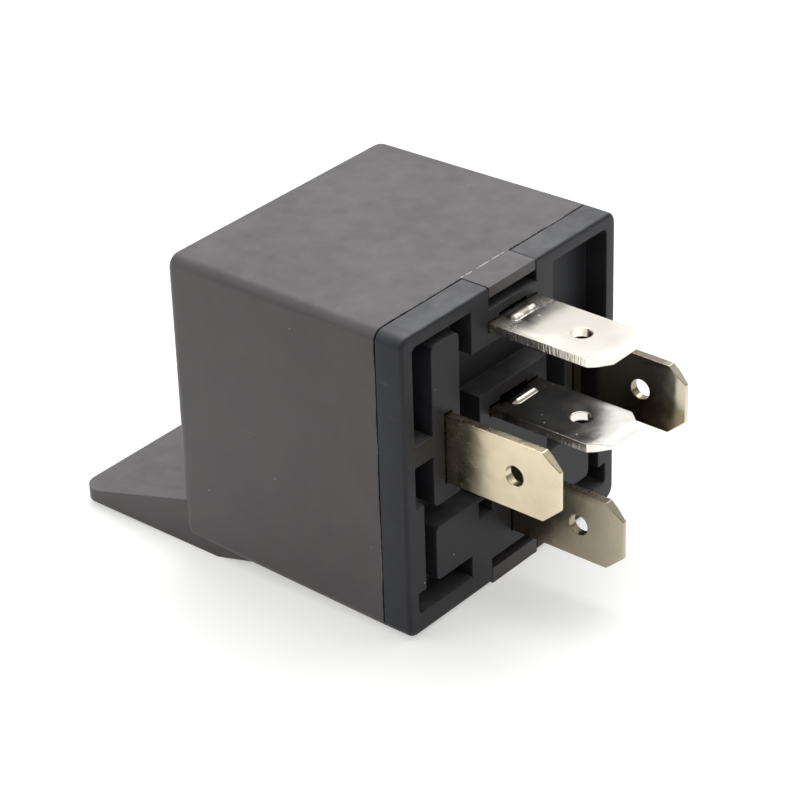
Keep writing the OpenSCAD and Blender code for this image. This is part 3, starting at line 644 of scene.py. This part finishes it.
def seam_flash(sides=8):
    """A bead round the outline: an ellipse in X and depth, whose reach into the seam waves."""
    draws = np.random.default_rng(11)
    points, outward = housing_outline()
    share = np.arange(len(points)) / len(points)
    slow = waves(share, [7, 13, 19, 29], draws)
    quick = waves(share, [61, 97, 143, 211], draws)
    reach = MEAN_REACH + SLOW_REACH * slow + TORN_REACH * np.clip(quick, 0, 1)
    reach = np.clip(reach, LEAST_REACH, MOST_REACH)
    sink = FLASH_SINK * (1 + np.clip(waves(share, [11, 23, 41], draws), 0, 1))
    angle = 2 * math.pi * np.arange(sides) / sides
    x = MOUTH_X + reach[:, None] * np.cos(angle)
    depth = sink[:, None] + FLASH_HALF * (1 - np.sin(angle))
    flat = points[:, None, :] - outward[:, None, :] * depth[..., None]
    return surface("seam_flash", np.concatenate([x[..., None], flat], -1), along=True)


place_piece(seam_flash(), torn_edge_and_highlight, "cover", stands_for=False)

# %% [markdown]
# The coil is one fine wire wound in tight even layers. Its outside is a tube whose
# radius rises in a half circle for every turn, and the rise moves along by one
# pitch in each turn round, so the ridges are a true helix.

# %% Winding
WINDING_BORE, WIRE_PITCH = 3.9 * MM, 0.24 * MM


def wound_coil(around=96, steps=8):
    """Radius = outer radius - wire radius x (1 - half circle of the place within a turn)."""
    low, high = box_mm("coil_winding")
    centre = (low + high) / 2
    outer = (high[2] - low[2]) / 2
    turns = int((high[0] - low[0]) / WIRE_PITCH)
    x = np.linspace(low[0], high[0], turns * steps + 1)
    angle = 2 * math.pi * np.arange(around) / around
    within = ((x - low[0])[None, :] / WIRE_PITCH - angle[:, None] / (2 * math.pi)) % 1
    bulge = np.sqrt(np.clip(1 - (2 * within - 1) ** 2, 0, 1))
    outside = outer - WIRE_PITCH / 2 * (1 - bulge)
    radius = np.hstack([outside, np.full((around, 2), WINDING_BORE)])
    along = np.broadcast_to(np.concatenate([x, [high[0], low[0]]]), radius.shape)
    grid = np.stack([along, centre[1] + radius * np.cos(angle)[:, None],
                     centre[2] + radius * np.sin(angle)[:, None]], -1)
    print("turns along the coil:", turns)
    return surface("coil_winding_wound", grid, along=True)


place_piece(wound_coil(), enamel, "coil_winding")

# %% [markdown]
# The resistor across the coil is a turned body with two thicker ends, painted
# with plain colour rings, and a lead at each end. It is a profile of radii along Y,
# turned once round.

# %% Suppression resistor
BODY_HALF, LEAD_R, BAND_HALF = 3.2 * MM, 0.3 * MM, 0.28 * MM
SHOULDER, WAIST, THICK_END = 0.5 * MM, 0.14 * MM, 1.1 * MM
RED, BROWN, GOLD = (0.35, 0.05, 0.03, 1), (0.22, 0.09, 0.03, 1), (0.55, 0.38, 0.10, 1)
LEAD_TIN = (0.62, 0.60, 0.55, 1)


def banded(material, bands):
    """Adds painted rings to a finish: each is a colour where Y is near its place, in millimetres."""
    tree = material.node_tree
    colour = tree.nodes["Principled BSDF"].inputs["Base Color"]
    under = colour.links[0].from_socket
    place = add(tree, "SeparateXYZ", Vector=add(tree, "TexCoord").outputs["Object"])
    for y, paint in bands:
        off = math_node(tree, "ABSOLUTE", math_node(tree, "SUBTRACT", place.outputs[1], y * MM))
        under = mix_colour(tree, math_node(tree, "LESS_THAN", off, BAND_HALF), under, paint)
    lead = math_node(tree, "GREATER_THAN", math_node(tree, "ABSOLUTE", place.outputs[1]), BODY_HALF)
    tree.links.new(mix_colour(tree, lead, under, LEAD_TIN), colour)
    tree.links.new(lead, tree.nodes["Principled BSDF"].inputs["Metallic"])


def turned_resistor(around=32):
    """Radius over Y: leads, quarter-circle shoulders, thick ends, and a cosine down to a slimmer middle."""
    low, high = box_mm("suppression_resistor")
    centre = (low + high) / 2
    body = (high[0] - low[0]) / 2
    y = np.concatenate([[low[1], -BODY_HALF], np.linspace(-BODY_HALF, BODY_HALF, 61), [BODY_HALF, high[1]]])
    inward = BODY_HALF - np.abs(y)
    shoulder = np.sqrt(1 - (1 - np.clip(inward / SHOULDER, 0, 1)) ** 2)
    sunk = 0.5 - 0.5 * np.cos(math.pi * np.clip((inward - THICK_END) / SHOULDER, 0, 1))
    radius = np.maximum(LEAD_R, shoulder * (body - WAIST * sunk))
    angle = 2 * math.pi * np.arange(around) / around
    grid = np.stack([centre[0] + radius[:, None] * np.cos(angle),
                     np.broadcast_to(y[:, None], (len(y), around)),
                     centre[2] + radius[:, None] * np.sin(angle)], -1)
    return surface("resistor_turned", grid)


banded(lacquer, [(-2.4, RED), (-1.1, RED), (0.0, BROWN), (2.3, GOLD)])
place_piece(turned_resistor(), lacquer, "suppression_resistor")

# %% [markdown]
# A flat copper braid carries the current to the moving contact. Sixteen strands
# cross the arch from side to side and dip under and over each other. Every strand
# is a thin tube carried along the same arch, and the grids of all strands are worked
# out as one array. The braid is soft, but here it keeps one shape.

# %% Contact braid
BRAID_THICK, BRAID_RISE, STRAND_R = 0.6 * MM, 2.1 * MM, 0.11 * MM
PLAITS, DIPS = 2.5, 4                          # trips across the width and back, and dips in each


def woven_braid(strands=16, rings=90, sides=6):
    """Strands along an arch: a triangle wave across the width, and a sine out of its plane."""
    low, high = box_mm("contact_braid")
    foot_x = high[0]
    tip_x = 2 * (low[0] + BRAID_RISE + BRAID_THICK) - foot_x
    middle, half = (low[2] + high[2]) / 2, (high[2] - low[2]) / 2 - BRAID_THICK
    t = np.linspace(0, math.pi, rings)
    strand = np.arange(strands)[:, None]
    phase = PLAITS * t / math.pi + strand / strands
    across = (high[1] - STRAND_R) * (4 * np.abs(phase % 1 - 0.5) - 1)
    dip = np.sin(2 * math.pi * (DIPS * phase + (strand % 2) / 2))
    lift = BRAID_THICK / 2 + (BRAID_THICK / 2 - STRAND_R) * dip

    def arch(grow):
        """The arch pushed out by a distance: a sine along X and a cosine along Z."""
        x = foot_x + (tip_x - foot_x) * t / math.pi - (BRAID_RISE + grow) * np.sin(t)
        return x, middle - (half + grow) * np.cos(t)

    x, z = arch(lift)
    centre = np.stack([x, across, z], -1)
    forward = np.gradient(centre, axis=1)
    forward /= np.linalg.norm(forward, axis=2, keepdims=True)
    side = np.cross(forward, np.array([0.0, 1.0, 0.0]))
    side /= np.linalg.norm(side, axis=2, keepdims=True)
    over = np.cross(forward, side)
    angle = 2 * math.pi * np.arange(sides) / sides
    ring = side[:, :, None] * np.cos(angle)[:, None] + over[:, :, None] * np.sin(angle)[:, None]
    grid = np.clip(centre[:, :, None] + STRAND_R * ring, low, high)
    return [surface("strand", tube) for tube in grid]


def joined(name, meshes):
    """One mesh made of several, whose points and faces follow each other."""
    work = bmesh.new()
    for mesh in meshes:
        work.from_mesh(mesh)
        bpy.data.meshes.remove(mesh)
    mesh = bpy.data.meshes.new(name)
    work.to_mesh(mesh)
    work.free()
    return mesh


braid = place_piece(joined("contact_braid_woven", woven_braid()), copper, "contact_braid", rides=False)
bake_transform(braid)

# %% [markdown]
# The set is a plain pale sheet and a soft white room. Where the camera looks
# past the relay it sees white, because the sheet adds a little light of its own
# for what the camera sees, straight or in bare metal. The sheet keeps its own
# shading under that, so the relay's soft shadow stays. The relay lies on the edge
# of its tab and on its lower tongue, so the sheet leans with it by under 2 degrees.

# %% Floor
REST_TAB = Vector((-22.1 * MM, 0, -14.86 * MM))
REST_TONGUE = Vector((-0.04 * MM, 0, -14.16 * MM))
PAPER, WHITE, GLOW = (0.60, 0.60, 0.594, 1), (1.0, 1.0, 0.985, 1), 0.47


def make_floor(half=1.5):
    """A square sheet through the two lines on which the relay rests."""
    slope = (REST_TONGUE.z - REST_TAB.z) / (REST_TONGUE.x - REST_TAB.x)
    u, v = np.meshgrid(np.linspace(-half, half, 2), np.linspace(-half, half, 2), indexing="ij")
    points = np.stack([u, v, REST_TAB.z + (u - REST_TAB.x) * slope], -1).reshape(-1, 3)
    mesh = bpy.data.meshes.new("floor")
    mesh.from_pydata(points.tolist(), [], [(0, 2, 3, 1)])
    sheet = bpy.data.objects.new("floor", mesh)
    bpy.context.scene.collection.objects.link(sheet)
    material = bpy.data.materials.new("floor_paper")
    material.use_nodes = True
    tree = material.node_tree
    tree.nodes.clear()
    rays = add(tree, "LightPath")
    seen = math_node(tree, "MAXIMUM", rays.outputs["Is Camera Ray"], rays.outputs["Is Glossy Ray"])
    paper = add(tree, "BsdfDiffuse", Color=PAPER)
    glow = add(tree, "Emission", Color=WHITE, Strength=math_node(tree, "MULTIPLY", seen, GLOW))
    both = add(tree, "AddShader", i0=paper.outputs[0], i1=glow.outputs[0])
    out = add(tree, "OutputMaterial")
    tree.links.new(both.outputs[0], out.inputs[0])
    mesh.materials.append(material)


make_floor()
print("floor laid")

# %% [markdown]
# The room is brightest above and a little behind the relay, and dim near the floor.
# That gives the upper face its sheen and leaves the blade side darker. The camera
# itself sees plain white there. A broad lamp high up makes the soft shadow, and a
# weaker one fills the left side.

# %% World and lamps
BRIGHT_SIDE = (-0.30, 0.22, 0.93)              # direction in which the room is brightest

world = bpy.data.worlds.new("room")
bpy.context.scene.world = world
world.use_nodes = True
room = world.node_tree
room.nodes.clear()
rays = add(room, "LightPath")
seen = math_node(room, "MAXIMUM", rays.outputs["Is Camera Ray"], rays.outputs["Is Transmission Ray"])
direction = add(room, "TexCoord").outputs["Generated"]
toward = add(room, "VectorMath", {"operation": "DOT_PRODUCT"}, i0=direction, i1=BRIGHT_SIDE)
soft = spread(room, toward.outputs["Value"], -0.05, 0.9, 0.08, 1.0)
wall = add(room, "Background", Color=(1, 1, 1, 1), Strength=soft)
white = add(room, "Background", Color=WHITE, Strength=1.0)
choice = add(room, "MixShader", i0=seen, i1=wall.outputs[0], i2=white.outputs[0])
sky = add(room, "OutputWorld")
room.links.new(choice.outputs[0], sky.inputs[0])


def soft_box(name, position, power, size):
    """A square area lamp, aimed at the middle of the relay. Position and size are in metres."""
    lamp = bpy.data.lights.new(name, "AREA")
    lamp.energy, lamp.size = power, size
    holder = bpy.data.objects.new(name, lamp)
    bpy.context.scene.collection.objects.link(holder)
    holder.location = position
    holder.rotation_mode = "QUATERNION"
    holder.rotation_quaternion = (Vector(position) - AIM).to_track_quat("Z", "Y")
    print(name, "at", position)


soft_box("overhead", (-0.06, 0.24, 0.53), power=2.8, size=0.5)
soft_box("left_fill", (-0.38, -0.45, 0.28), power=1.0, size=0.4)
